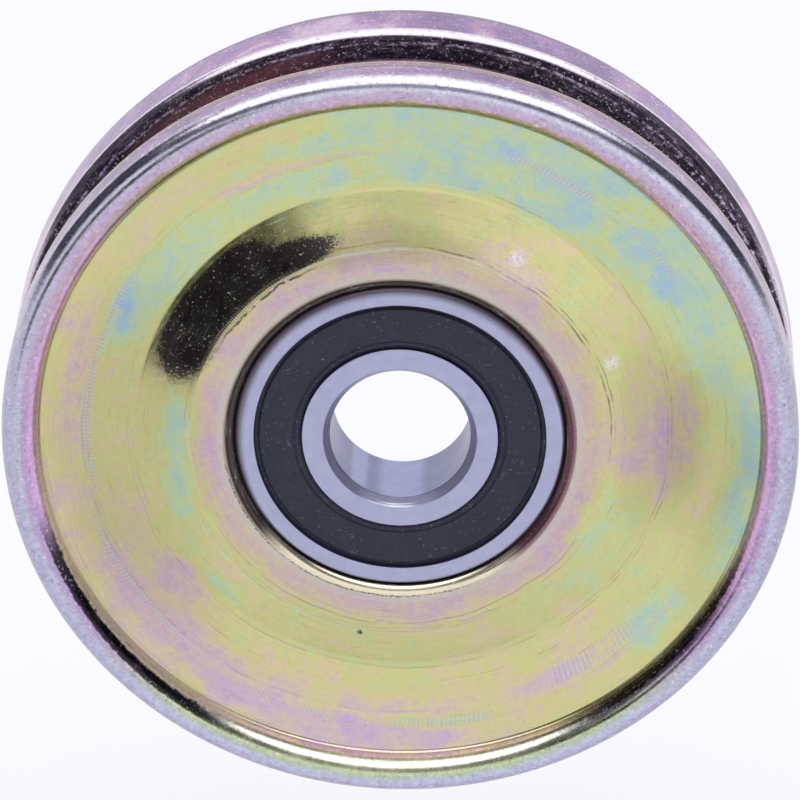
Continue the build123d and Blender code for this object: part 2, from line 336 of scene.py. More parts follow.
class Nodes:
    """A short way to write shader node trees."""

    def __init__(self, tree):
        self.tree = tree

    def add(self, kind, **settings):
        node = self.tree.nodes.new(kind)
        for key, value in settings.items():
            setattr(node, key, value)
        return node

    def put(self, socket, value):
        if isinstance(value, bpy.types.NodeSocket):
            self.tree.links.new(value, socket)
        elif isinstance(value, (tuple, list)) and socket.type == "RGBA" and len(value) == 3:
            socket.default_value = (*value, 1)
        else:
            socket.default_value = value

    def math(self, operation, a, b=0.0, c=None, clamp=False):
        node = self.add("ShaderNodeMath", operation=operation, use_clamp=clamp)
        self.put(node.inputs[0], a)
        self.put(node.inputs[1], b)
        if c is not None:
            self.put(node.inputs[2], c)
        return node.outputs[0]

    def times(self, a, b):
        return self.math("MULTIPLY", a, b)

    def scaled(self, value, factor, base):
        """A base with a value times a factor added to it."""
        return self.math("MULTIPLY_ADD", value, factor, base)

    def centred(self, noise):
        """A noise's distance from its middle."""
        return self.math("SUBTRACT", noise, 0.5)

    def vary(self, base, noise, amount):
        """A base moved up and down by a noise."""
        return self.scaled(self.centred(noise), amount, base)

    def vector(self, operation, a, b=(0, 0, 0), scale=None):
        node = self.add("ShaderNodeVectorMath", operation=operation)
        self.put(node.inputs[0], a)
        self.put(node.inputs[1], b)
        if scale is not None:
            self.put(node.inputs["Scale"], scale)
        return node.outputs["Value" if operation in ("LENGTH", "DOT_PRODUCT", "DISTANCE") else "Vector"]

    def smooth(self, value, low, high, to_low=0.0, to_high=1.0, kind="SMOOTHSTEP"):
        node = self.add("ShaderNodeMapRange", interpolation_type=kind)
        self.put(node.inputs["Value"], value)
        for name, number in (("From Min", low), ("From Max", high), ("To Min", to_low), ("To Max", to_high)):
            self.put(node.inputs[name], number)
        return node.outputs[0]

    def ramp(self, value, stops, mode="LINEAR"):
        node = self.add("ShaderNodeValToRGB")
        node.color_ramp.interpolation = mode
        elements = node.color_ramp.elements
        while len(elements) < len(stops):
            elements.new(0.5)
        for element, (position, color) in zip(elements, stops):
            element.position = position
            element.color = (*color, 1) if len(color) == 3 else color
        self.put(node.inputs[0], value)
        return node.outputs[0]

    def mix(self, factor, a, b):
        node = self.add("ShaderNodeMix", data_type="RGBA")
        self.put(node.inputs[0], factor)
        self.put(node.inputs[6], a)
        self.put(node.inputs[7], b)
        return node.outputs[2]

    def paint(self, color, mask, tone, strength=None):
        """A colour with a tone laid over it where the mask is one."""
        return self.mix(mask if strength is None else self.times(mask, strength), color, tone)

    def noise(self, position, scale, detail=3.0, roughness=0.55, distortion=0.0, seed=0.0):
        node = self.add("ShaderNodeTexNoise", noise_dimensions="4D")
        self.put(node.inputs["Vector"], position)
        self.put(node.inputs["W"], seed)
        self.put(node.inputs["Scale"], scale)
        self.put(node.inputs["Detail"], detail)
        self.put(node.inputs["Roughness"], roughness)
        self.put(node.inputs["Distortion"], distortion)
        return node.outputs["Fac"]

    def cloud(self, position, scale, detail, seed):
        """Three independent noises centred on zero."""
        node = self.add("ShaderNodeTexNoise", noise_dimensions="4D")
        self.put(node.inputs["Vector"], position)
        self.put(node.inputs["W"], seed)
        self.put(node.inputs["Scale"], scale)
        self.put(node.inputs["Detail"], detail)
        return self.vector("SUBTRACT", node.outputs["Color"], (0.5, 0.5, 0.5))

    def rotate(self, vector, angle):
        """Turns a vector about the pulley's axis so that a direction at minus the angle comes to +X."""
        node = self.add("ShaderNodeVectorRotate", rotation_type="AXIS_ANGLE")
        self.put(node.inputs["Vector"], vector)
        self.put(node.inputs["Axis"], (0, 1, 0))
        self.put(node.inputs["Angle"], -angle)
        return node.outputs[0]

    def angle_from(self, position, degrees):
        """Angle round the axis in radians, measured from a direction in degrees."""
        turned = self.separate(self.rotate(position, -math.radians(degrees)))
        return self.math("ARCTAN2", turned[2], turned[0])

    def combine(self, x, y, z):
        node = self.add("ShaderNodeCombineXYZ")
        for socket, value in zip(node.inputs, (x, y, z)):
            self.put(socket, value)
        return node.outputs[0]

    def separate(self, vector):
        node = self.add("ShaderNodeSeparateXYZ")
        self.put(node.inputs[0], vector)
        return node.outputs

    def bump(self, height, distance, strength=1.0, normal=None):
        node = self.add("ShaderNodeBump")
        self.put(node.inputs["Height"], height)
        self.put(node.inputs["Distance"], distance)
        self.put(node.inputs["Strength"], strength)
        if normal is not None:
            self.put(node.inputs["Normal"], normal)
        return node.outputs[0]


def srgb(r, g, b):
    """Linear colour of an 8-bit display colour."""
    return tuple(
        c / 12.92 if c <= 0.04045 else ((c + 0.055) / 1.055) ** 2.4
        for c in (r / 255, g / 255, b / 255)
    )


def new_material(name):
    material = bpy.data.materials.new(name)
    material.use_nodes = True
    tree = material.node_tree
    shader = next(n for n in tree.nodes if n.type == "BSDF_PRINCIPLED")
    return material, Nodes(tree), shader


def polar(n):
    """Object-space position in millimetres: vector, x, y, z, radius and the unit direction from the axis."""
    coordinates = n.add("ShaderNodeTexCoord").outputs["Object"]
    position = n.vector("SCALE", coordinates, scale=1000.0)
    x, y, z = n.separate(position)
    flat = n.combine(x, 0.0, z)
    radius = n.vector("LENGTH", flat)
    direction = n.vector("NORMALIZE", flat)
    return position, x, y, z, radius, direction


def bearing_at(degrees):
    """Unit direction in the pulley's plane, degrees counter-clockwise from the right."""
    return (math.cos(math.radians(degrees)), 0.0, math.sin(math.radians(degrees)))


def sector(n, direction, degrees, half_width, soft):
    """One inside a sector round the axis, fading to zero over the soft edge."""
    dot = n.vector("DOT_PRODUCT", direction, bearing_at(degrees))
    outer = math.cos(math.radians(min(180, half_width + soft)))
    inner = math.cos(math.radians(max(0, half_width - soft)))
    return n.smooth(dot, outer, inner)


def between(n, value, low, high, soft):
    """One between two values, fading to zero over the soft edges."""
    return n.times(n.smooth(value, low - soft, low + soft), n.smooth(value, high + soft, high - soft))


def patch(n, radius, direction, degrees, distance, along, across):
    """A soft patch of film centred on a direction and a distance from the axis, in millimetres."""
    arc_distance = n.times(n.vector("DISTANCE", direction, bearing_at(degrees)), distance / along)
    radial = n.times(n.math("SUBTRACT", radius, distance), 1 / across)
    squared = n.scaled(radial, radial, n.times(arc_distance, arc_distance))
    return n.smooth(squared, 1.9, 0.0)


def ring_noise(n, radius, direction, along, across, detail, seed, offset=0.0):
    """Noise drawn out round the axis, with its grain given in millimetres along and across the rings."""
    spread = n.vector("SCALE", direction, scale=35.0 / along)
    dx, _, dz = n.separate(spread)
    position = n.combine(dx, n.scaled(radius, 1 / across, offset), dz)
    return n.noise(position, 1.0, detail, 0.55, 0.0, seed)


def hairline(n, noise, level, width):
    """Thin lines along the contour of a noise field."""
    return n.smooth(n.math("ABSOLUTE", n.math("SUBTRACT", noise, level)), width, 0.0)


# ---------------------------------------------------------------- materials

# Interference colours of the plating, from thin (pink) through yellow to thick (blue)
FILM = [
    (0.00, srgb(194, 164, 210)),
    (0.14, srgb(204, 177, 202)),
    (0.28, srgb(210, 188, 184)),
    (0.40, srgb(213, 199, 160)),
    (0.50, srgb(208, 203, 142)),
    (0.60, srgb(200, 207, 146)),
    (0.70, srgb(190, 209, 168)),
    (0.80, srgb(174, 202, 190)),
    (0.90, srgb(160, 190, 218)),
    (1.00, srgb(158, 174, 226)),
]

# Patches of thicker or thinner film on the front: degrees, radius, length, width, change of film
FRONT_PATCHES = [
    (146, 35.2, 8.0, 3.2, 0.34),
    (157, 37.4, 4.0, 2.0, 0.30),
    (126, 41.2, 10.0, 2.0, -0.26),
    (152, 40.6, 11.0, 2.4, -0.22),
    (114, 37.6, 9.0, 0.9, -0.60),
    (109, 42.0, 7.0, 1.2, -0.26),
    (70, 37.6, 8.0, 2.0, 0.08),
    (34, 38.5, 9.0, 2.6, 0.12),
    (30, 33.6, 7.0, 2.0, -0.22),
    (358, 33.4, 9.0, 2.2, -0.62),
    (345, 37.2, 7.0, 2.2, -0.26),
    (352, 42.2, 12.0, 1.6, 0.30),
    (322, 39.6, 4.5, 2.4, 0.42),
    (262, 41.6, 12.0, 2.0, -0.34),
    (276, 39.6, 7.0, 0.9, 0.62),
    (298, 38.2, 6.0, 1.4, -0.34),
    (256, 34.4, 24.0, 2.2, 0.30),
    (217, 34.0, 4.5, 2.2, -0.42),
    (222, 27.6, 3.2, 1.5, -0.30),
    (239, 40.8, 8.0, 1.5, -0.34),
    (210, 39.6, 5.0, 2.0, -0.30),
    (197, 28.6, 3.6, 1.8, 0.40),
    (8, 35.6, 5.0, 1.8, -0.20),
    (172, 39.6, 9.0, 2.2, -0.26),
    (222, 38.6, 9.0, 2.2, -0.20),
    (226, 30.6, 3.2, 1.6, 0.34),
    (331, 28.2, 7.0, 3.2, 0.32),
    (181, 26.8, 6.0, 1.9, 0.44),
    (0, 28.4, 7.0, 4.0, -0.34),
    (62, 26.6, 7.0, 2.0, -0.30),
    (188, 33.4, 10.0, 3.0, 0.02),
]

REAR_PATCHES = [
    (40, 36.0, 12.0, 3.4, 0.40),
    (130, 39.0, 9.0, 2.4, -0.30),
    (215, 35.0, 10.0, 2.6, 0.42),
    (290, 40.0, 12.0, 2.2, -0.34),
    (330, 34.0, 8.0, 3.0, -0.26),
    (80, 29.0, 7.0, 3.0, 0.34),
    (250, 28.0, 7.0, 3.0, -0.30),
]

# Film on the rolled rim by the angle round the roll, from the land (0) over the crest to the wall's foot,
# with painted highlights and shade; the top, the sides and the bottom each have their own copy
RIM_TOP = [
    (0, srgb(154, 138, 160)),
    (20, srgb(166, 154, 178)),
    (30, srgb(206, 198, 216)),
    (44, srgb(226, 222, 234)),
    (54, srgb(196, 192, 212)),
    (76, srgb(202, 202, 221)),
    (88, srgb(190, 178, 204)),
    (104, srgb(198, 171, 202)),
    (112, srgb(194, 172, 178)),
    (119, srgb(168, 155, 122)),
    (130, srgb(160, 152, 106)),
    (150, srgb(156, 152, 120)),
    (180, srgb(164, 166, 136)),
]
RIM_SIDES = [
    (0, srgb(176, 160, 180)),
    (30, srgb(170, 167, 180)),
    (52, srgb(178, 175, 197)),
    (76, srgb(184, 184, 212)),
    (90, srgb(192, 192, 214)),
    (104, srgb(184, 164, 198)),
    (120, srgb(189, 161, 208)),
    (138, srgb(192, 164, 196)),
    (150, srgb(176, 160, 174)),
    (160, srgb(162, 156, 152)),
    (172, srgb(176, 172, 170)),
    (180, srgb(190, 188, 186)),
]
RIM_BOTTOM = [
    (0, srgb(190, 180, 202)),
    (60, srgb(180, 176, 200)),
    (72, srgb(193, 190, 222)),
    (82, srgb(194, 200, 228)),
    (92, srgb(190, 199, 202)),
    (102, srgb(186, 196, 176)),
    (112, srgb(192, 204, 156)),
    (124, srgb(206, 208, 176)),
    (138, srgb(236, 238, 226)),
    (150, srgb(212, 212, 196)),
    (162, srgb(212, 200, 204)),
    (172, srgb(180, 162, 176)),
    (180, srgb(168, 148, 172)),
]

# Tones of the land, the groove's flank (a painted dark reflection) and its floor, by a noise from 0 to 1
LAND_FILM = [
    (0.00, srgb(134, 112, 150)),
    (0.45, srgb(158, 128, 176)),
    (0.75, srgb(174, 140, 178)),
    (1.00, srgb(200, 176, 204)),
]
FLANK_DARK_REFLECTION = [
    (0.30, srgb(26, 24, 34)),
    (0.50, srgb(52, 44, 58)),
    (0.60, srgb(86, 70, 90)),
    (0.72, srgb(140, 124, 150)),
]
GROOVE_FLOOR_FILM = [
    (0.3, srgb(60, 52, 58)),
    (0.5, srgb(104, 92, 88)),
    (0.7, srgb(150, 138, 118)),
]

# Ring marks on the front: radius, width, direction and half width of the sector, strength, tone
RING_MARKS = [
    (25.30, 0.22, 150, 60, 0.9, srgb(216, 208, 196)),
    (25.95, 0.18, 135, 40, 0.8, srgb(190, 176, 132)),
    (25.45, 0.18, 40, 40, 0.8, srgb(92, 84, 84)),
    (25.10, 0.20, 72, 40, 0.9, srgb(226, 220, 212)),
    (25.95, 0.14, 30, 26, 0.7, srgb(104, 96, 94)),
    (25.00, 0.18, 270, 56, 0.7, srgb(150, 148, 156)),
    (25.90, 0.16, 275, 50, 0.6, srgb(158, 156, 160)),
    (32.45, 0.18, 280, 90, 0.6, srgb(168, 158, 150)),
    (32.90, 0.20, 12, 66, 0.55, srgb(160, 152, 116)),
    (38.30, 0.28, 225, 50, 0.62, srgb(182, 174, 184)),
    (38.75, 0.12, 222, 46, 0.55, srgb(216, 210, 214)),
    (24.20, 0.16, 235, 40, 0.60, srgb(176, 170, 178)),
    (26.40, 0.20, 250, 46, 0.55, srgb(172, 168, 172)),
    (26.80, 0.12, 244, 40, 0.55, srgb(214, 210, 216)),
    (24.60, 0.16, 20, 60, 0.55, srgb(214, 206, 206)),
    (27.10, 0.10, 10, 40, 0.45, srgb(168, 166, 150)),
    (33.10, 0.12, 200, 60, 0.35, srgb(172, 166, 132)),
    (37.60, 0.16, 245, 50, 0.40, srgb(206, 198, 206)),
    (38.70, 0.14, 150, 60, 0.40, srgb(196, 190, 196)),
    (37.90, 0.14, 165, 50, 0.40, srgb(170, 164, 160)),
    (36.90, 0.30, 100, 24, 0.35, srgb(196, 186, 206)),
    (40.20, 0.12, 30, 40, 0.40, srgb(164, 182, 196)),
    (41.20, 0.12, 20, 34, 0.40, srgb(150, 176, 208)),
    (39.20, 0.12, 20, 34, 0.30, srgb(170, 186, 160)),
]

# Painted shade that dulls the front where its reflection is darker: direction, radius, length, width, change
# of brightness
PAINTED_SHADE = [
    (183, 34.0, 22.0, 9.0, -0.17),
    (0, 31.5, 12.0, 5.0, -0.20),
    (358, 38.0, 12.0, 6.0, -0.16),
    (96, 26.0, 11.0, 2.2, -0.22),
    (215, 38.0, 16.0, 6.0, -0.08),
    (345, 42.0, 14.0, 3.0, -0.08),
    (90, 23.0, 80.0, 2.6, -0.10),
]
NICK = (-4.9, 0.0, -26.8)
SMUDGES = [(13.9, 0.0, 23.8), (25.3, 0.0, 10.3)]

# Chatter marks left by the forming tool: direction, half width of the sector, radii, ticks in a full turn
CHATTER = [
    (62, 9, 38.2, 39.3, 430),
    (40, 8, 38.6, 39.1, 430),
    (110, 14, 36.7, 37.2, 520),
    (168, 22, 37.4, 38.2, 460),
    (213, 14, 38.6, 39.4, 460),
    (250, 9, 39.6, 40.2, 500),
    (277, 9, 39.4, 40.6, 430),
    (308, 9, 37.2, 39.4, 360),
    (318, 10, 39.8, 40.4, 500),
]

# Tones of single features, as display colours
PINK_WALL = srgb(216, 176, 220)
# painted light on the wall's foot, and painted dark reflection in the wall's black crescents
WALL_FOOT_LIGHT = srgb(218, 200, 182)
CRESCENT_REFLECTION = srgb(34, 30, 36)
# painted reflections on the front land: a dark line and a pink edge
LAND_LINE_REFLECTION = srgb(96, 86, 96)
LAND_EDGE_PINK_REFLECTION = srgb(212, 164, 168)
# painted highlight on the rear land's groove edge, and painted dark reflection along its crest
REAR_EDGE_HIGHLIGHT = srgb(226, 216, 228)
REAR_OUTLINE_REFLECTION = srgb(112, 102, 116)
# painted reflections on the groove's flank, warm and pink
FLANK_WARM_REFLECTION = srgb(118, 74, 82)
FLANK_PINK_REFLECTION = srgb(222, 182, 190)
FLANK_RUB = srgb(190, 172, 204)
FLANK_SPECK = srgb(196, 190, 184)
SHOULDER = srgb(206, 199, 190)
SHOULDER_RUB = srgb(70, 58, 50)
CHATTER_GROUND = srgb(176, 170, 178)
CHATTER_TICK = srgb(212, 206, 214)
HAIR = srgb(206, 198, 212)
DARK_HAIR = srgb(140, 132, 120)
FLECK = srgb(214, 208, 214)
PIT = srgb(112, 104, 96)
RIM_LIGHT_SPECK = srgb(232, 230, 240)
RIM_DARK_SPECK = srgb(104, 98, 112)
# painted dark reflection on the cone, and the light flecks in it
PAINTED_DARK_REFLECTION = srgb(36, 26, 58)
PAINTED_REFLECTION_FLECK = srgb(250, 246, 214)
BURR_DARK = srgb(110, 98, 70)
BURR_LIGHT = srgb(214, 206, 172)
BURR_EDGE = srgb(52, 42, 44)
RUBBED_OFF = srgb(228, 226, 232)
NICK_TONE = srgb(60, 56, 58)

# Pairs of tones that a mask or a noise runs between
# painted reflection of the groove on the front land, grey to pink
FRONT_LAND_REFLECTION = (srgb(136, 120, 130), srgb(176, 156, 160))
# painted shade at the top and sides of the hub's mouth, and a painted highlight at its bottom
MOUTH_TOP_SHADE = (srgb(172, 162, 148), srgb(60, 50, 46))
MOUTH_RIGHT_SHADE = (srgb(146, 116, 122), srgb(84, 50, 58))
MOUTH_BOTTOM_HIGHLIGHT = (srgb(240, 231, 202), srgb(72, 62, 56))

# Radii, in millimetres, over which one region of the plating gives way to the next
HUB_TO_WEB = (22.6, 26.6)
WEB_STARTS = (31.8, 33.4)
RIM_STARTS = (43.35, 43.75)
LAND_STARTS = (47.5, 47.8)
FLANK_ENDS = (47.62, 47.35)
FLANK_STARTS = (38.0, 38.4)
MOUTH_ENDS = (21.5, 21.2)
CREVICE_ENDS = (20.95, 20.6)

# Only ring marks stronger than this are raised as well as painted. The front's shader is near Cycles' limit
# on values held at once, and past it the disc renders black.
BUMP_MARK = 0.75
CHATTER_SLANT = 2.4  # radians of a tick's wave for each millimetre of radius
LADDER_ANGLE = 135  # degrees
LADDER_RUNGS = 520.0  # in a full turn


class Surface:
    """Where a point of the plating lies, and the noises that its features share."""

    def __init__(self, n, seed):
        self.n = n
        self.seed = seed
        self.position, self.x, y, self.z, self.radius, self.direction = polar(n)
        self.offset = n.math("ABSOLUTE", n.math("SUBTRACT", y, MID_Y))
        drift_x, drift_y, drift_z = n.separate(n.cloud(self.position, 0.16, 3.0, seed))
        self.warped_radius = n.scaled(drift_y, 3.4, self.radius)
        drift = n.vector("SCALE", n.combine(drift_x, 0.0, drift_z), scale=0.16)
        self.warped_direction = n.vector("ADD", self.direction, drift)
        self.blotch = n.noise(self.position, 0.26, 4.0, 0.6, 0.5, seed + 1)
        self.mottle = n.noise(self.position, 1.3, 3.0, 0.6, 0.0, seed + 2)
        self.grain = n.noise(self.position, 5.0, 2.0, 0.6, 0.0, seed + 3)
        self.streaks = self.rings(9.0, 0.8, 3.0, seed + 4)
        self.fine_streaks = self.rings(5.0, 0.22, 2.0, seed + 5)

    def rings(self, along, across, detail, seed):
        return ring_noise(self.n, self.radius, self.direction, along, across, detail, seed)

    def sector(self, degrees, half_width, soft):
        return sector(self.n, self.direction, degrees, half_width, soft)

    def band(self, low, high, soft, noise=None, amount=0.0):
        """A ring between two radii; a noise makes it wander by the amount."""
        radius = self.radius if noise is None else self.n.vary(self.radius, noise, amount)
        return between(self.n, radius, low, high, soft)

    def patch(self, degrees, distance, along, across):
        return patch(self.n, self.warped_radius, self.warped_direction, degrees, distance, along, across)

    def stretched_noise(self, stretch, scale, detail, seed):
        """Noise on the groove's flank, finer across the rings than along them."""
        place = self.n.combine(self.x, self.n.times(self.radius, stretch), self.z)
        return self.n.noise(place, scale, detail, 0.65, 0.0, seed)

    def distance_to(self, place):
        return self.n.vector("DISTANCE", self.n.combine(self.x, 0.0, self.z), place)


def film_color(s, patches):
    """Colour of the web, cone and hub face by the film's thickness, from -1 (thin) to 1 (thick)."""
    n = s.n
    film = n.smooth(s.warped_radius, *HUB_TO_WEB, -0.46, 0.05)
    outer_web = n.smooth(s.warped_radius, *WEB_STARTS)
    swing = n.vector("DOT_PRODUCT", s.direction, bearing_at(62))
    film = n.math("ADD", film, n.times(outer_web, n.scaled(swing, 0.36, 0.06)))
    for *place, change in patches:
        film = n.scaled(s.patch(*place), change, film)
    weights = ((s.blotch, 0.9), (s.mottle, 0.5), (s.streaks, 0.18), (s.fine_streaks, 0.12), (s.grain, 0.4))
    for noise, weight in weights:
        film = n.vary(film, noise, weight)
    lumps = n.noise(s.position, 0.21, 4.0, 0.66, 0.3, s.seed + 30)
    film = n.scaled(n.smooth(lumps, 0.51, 0.6), -0.20, film)
    film = n.scaled(n.smooth(lumps, 0.47, 0.4), 0.10, film)
    return n.ramp(n.scaled(film, 0.5, 0.5), FILM)


def rim_ramp(n, theta, stops):
    return n.ramp(n.times(theta, 1 / 180), [(degrees / 180, color) for degrees, color in stops])


def rim_color(s):
    """Colour of the rolled rim, with painted highlights and shade that differ between its top, sides and
    bottom, and the angle round its crest that it is laid out by.
    """
    n = s.n
    rise = n.math("SUBTRACT", s.offset, CREST_C[1])
    theta = n.times(n.math("ARCTAN2", rise, n.math("SUBTRACT", s.radius, CREST_C[0])), DEGREES)
    theta = n.math("ADD", theta, n.times(n.math("LESS_THAN", theta, -90.0), 360.0))
    for noise, degrees in ((s.blotch, 34.0), (s.mottle, 20.0), (s.fine_streaks, 14.0)):
        theta = n.vary(theta, noise, degrees)
    # painted highlights and shade: the rim's top, sides and bottom take different copies of its colours
    _, _, upward = n.separate(s.direction)
    to_top = n.smooth(upward, -0.15, 0.75)
    color = n.mix(to_top, rim_ramp(n, theta, RIM_SIDES), rim_ramp(n, theta, RIM_TOP))
    to_bottom = n.smooth(upward, -0.55, -0.85)
    return n.mix(to_bottom, color, rim_ramp(n, theta, RIM_BOTTOM)), theta


def front_wall(s, color, theta):
    """The front rim's inner wall: pink sides, a foot painted light and two black crescents of painted dark
    reflection.

    Returns the mask of the foot as well."""
    n = s.n
    inner_wall = n.smooth(theta, 112, 128)
    pink_side = n.math("MAXIMUM", s.sector(168, 30, 9), s.sector(6, 44, 9))
    color = n.paint(color, n.times(inner_wall, pink_side), PINK_WALL)
    ragged = n.vary(s.radius, s.mottle, 0.6)
    # painted dark reflection: two black crescents on the wall
    reflected_crescent = n.times(s.sector(218, 22, 6), between(n, ragged, 43.95, 45.0, 0.12))
    right_reflected_crescent = n.times(s.sector(320, 20, 8), between(n, ragged, 43.7, 44.2, 0.1))
    reflected_crescent = n.math("MAXIMUM", reflected_crescent, right_reflected_crescent)
    # painted light over the wall's foot, where its reflection renders dark
    foot = n.times(s.sector(216, 30, 8), between(n, ragged, 42.9, 43.95, 0.12))
    color = n.paint(color, foot, WALL_FOOT_LIGHT)
    return n.paint(color, reflected_crescent, CRESCENT_REFLECTION, 0.95), foot


def land_color(s, color):
    """The outer land, lilac to purple."""
    n = s.n
    drift = n.centred(s.fine_streaks)
    tone = n.scaled(drift, 0.3, n.noise(s.position, 0.16, 3.0, 0.55, 0.4, s.seed + 6))
    tone = n.ramp(n.smooth(tone, 0.3, 0.7), LAND_FILM)
    on_land = n.times(n.smooth(s.radius, *LAND_STARTS), n.smooth(s.offset, 9.6, 8.9))
    return n.paint(color, on_land, tone)


def front_land(s, color, edge):
    """The front land is painted grey and pink beyond a dark line, all painted reflections, with a pink edge
    of painted reflection at the top of the groove.
    """
    n = s.n
    beyond = n.times(n.smooth(s.radius, *LAND_STARTS), n.smooth(n.vary(s.offset, s.mottle, 0.3), 7.6, 7.3))
    # painted reflection of the groove, grey to pink, beyond the line
    color = n.paint(color, beyond, n.mix(s.streaks, *FRONT_LAND_REFLECTION))
    line = n.times(n.smooth(s.radius, *LAND_STARTS), between(n, s.offset, 7.32, 7.5, 0.06))
    # painted dark reflection line on the land
    color = n.paint(color, n.times(line, n.smooth(s.mottle, 0.3, 0.5)), LAND_LINE_REFLECTION)
    # painted pink reflection at the top of the groove's edge
    pink_edge = n.times(n.smooth(s.offset, edge + 0.15, edge - 0.15), n.smooth(s.radius, 47.2, 47.5))
    return n.paint(color, n.times(pink_edge, s.sector(92, 30, 12)), LAND_EDGE_PINK_REFLECTION)


def rear_land(s, color, edge):
    """The rear land has a painted highlight along its edge at the groove and a darker outline of painted
    reflection at the crest.
    """
    n = s.n
    # painted highlight along the groove edge
    groove_edge = n.times(n.smooth(s.radius, 47.2, 47.9), n.smooth(s.offset, edge + 0.25, edge - 0.1))
    color = n.paint(color, groove_edge, REAR_EDGE_HIGHLIGHT)
    # painted dark reflection along the crest
    outline = n.times(n.smooth(s.radius, 47.3, 47.6), between(n, s.offset, 9.3, 10.3, 0.2))
    return n.paint(color, outline, REAR_OUTLINE_REFLECTION, 0.6)


def flank_color(s, color, edge):
    """The groove's flank: painted dark reflection with painted warm and pink reflections, a rubbed line and
    specks. Returns the masks of the flank and of its pink reflection as well.
    """
    n = s.n
    flank = n.times(n.smooth(s.radius, *FLANK_ENDS), n.smooth(s.offset, edge + 0.1, edge - 0.3))
    flank = n.times(flank, n.smooth(s.radius, *FLANK_STARTS))
    # painted dark reflection over the flank
    tone = n.ramp(s.stretched_noise(3.0, 0.5, 4.0, s.seed + 7), FLANK_DARK_REFLECTION)
    # painted warm and pink reflections on the flank
    warm = n.times(s.sector(118, 13, 8), s.band(44.6, 46.4, 0.5))
    tone = n.paint(tone, warm, FLANK_WARM_REFLECTION, 0.8)
    pink_reflection = n.times(s.sector(88, 15, 7), s.band(44.2, 44.75, 0.25))
    tone = n.paint(tone, pink_reflection, FLANK_PINK_REFLECTION, 0.9)
    rub_line = n.times(s.band(46.55, 46.75, 0.12, s.blotch, 0.8), n.smooth(s.mottle, 0.42, 0.6))
    tone = n.paint(tone, rub_line, FLANK_RUB)
    specks = n.smooth(s.stretched_noise(1.5, 1.6, 3.0, s.seed + 24), 0.6, 0.68)
    tone = n.paint(tone, specks, FLANK_SPECK, 0.9)
    return n.paint(color, flank, tone), flank, pink_reflection


def mouth_color(s, color):
    """The hub's mouth: a grey-beige shoulder, brown painted shade at the top and sides, and a gold painted
    highlight at the bottom, each darkening inwards as painted shade.

    Returns the mask of the dark crevice beside the bearing as well."""
    n = s.n
    color = n.paint(color, s.band(21.25, 22.3, 0.25), SHOULDER, 0.7)
    mouth = n.smooth(s.radius, *MOUTH_ENDS)
    lower = s.sector(266, 42, 10)
    # painted shade at the top and sides and a painted highlight at the bottom, each darkening inwards as
    # painted shade
    tone = n.mix(n.smooth(s.radius, 21.3, 20.95), *MOUTH_TOP_SHADE)
    tone = n.mix(s.sector(345, 50, 15), tone, n.mix(n.smooth(s.radius, 21.2, 20.7), *MOUTH_RIGHT_SHADE))
    tone = n.mix(lower, tone, n.mix(n.smooth(s.radius, 20.3, 20.1), *MOUTH_BOTTOM_HIGHLIGHT))
    color = n.mix(mouth, color, tone)
    crevice = n.times(n.smooth(s.radius, *CREVICE_ENDS), n.math("SUBTRACT", 1.0, lower))
    rub = n.times(s.band(21.3, 21.48, 0.08, s.mottle, 0.5), s.sector(240, 52, 10))
    color = n.paint(color, n.times(rub, n.smooth(s.grain, 0.44, 0.56)), SHOULDER_RUB)
    return color, crevice


def tool_marks(s, color):
    """Broken ring marks and chatter marks on the front. Returns the raised ones' masks as well."""
    n = s.n
    raised = []
    wandering = n.vary(s.radius, n.noise(s.position, 0.12, 2.0, 0.5, 0.0, s.seed + 8), 1.2)
    for distance, width, degrees, half, strength, tone in RING_MARKS:
        line = between(n, wandering, distance, distance + width, 0.05)
        broken = n.smooth(s.rings(4.0, 3.0, 3.0, s.seed + 9 + distance), 0.36, 0.6)
        line = n.times(n.times(line, broken), s.sector(degrees, half, 12))
        color = n.paint(color, line, tone, strength)
        if strength > BUMP_MARK:
            raised.append(line)
    for degrees, half, low, high, count in CHATTER:
        window = n.times(s.sector(degrees, half, 2.5), between(n, wandering, low, high, 0.2))
        angle = n.angle_from(s.position, degrees)
        wave = n.math("SINE", n.scaled(angle, float(count), n.times(s.radius, CHATTER_SLANT)))
        window = n.times(window, n.smooth(s.blotch, 0.36, 0.46))
        ticks = n.times(window, n.smooth(wave, -0.3, 0.5))
        color = n.paint(color, window, CHATTER_GROUND, 0.3)
        color = n.paint(color, ticks, CHATTER_TICK, 0.5)
        raised.append(ticks)
    return color, raised


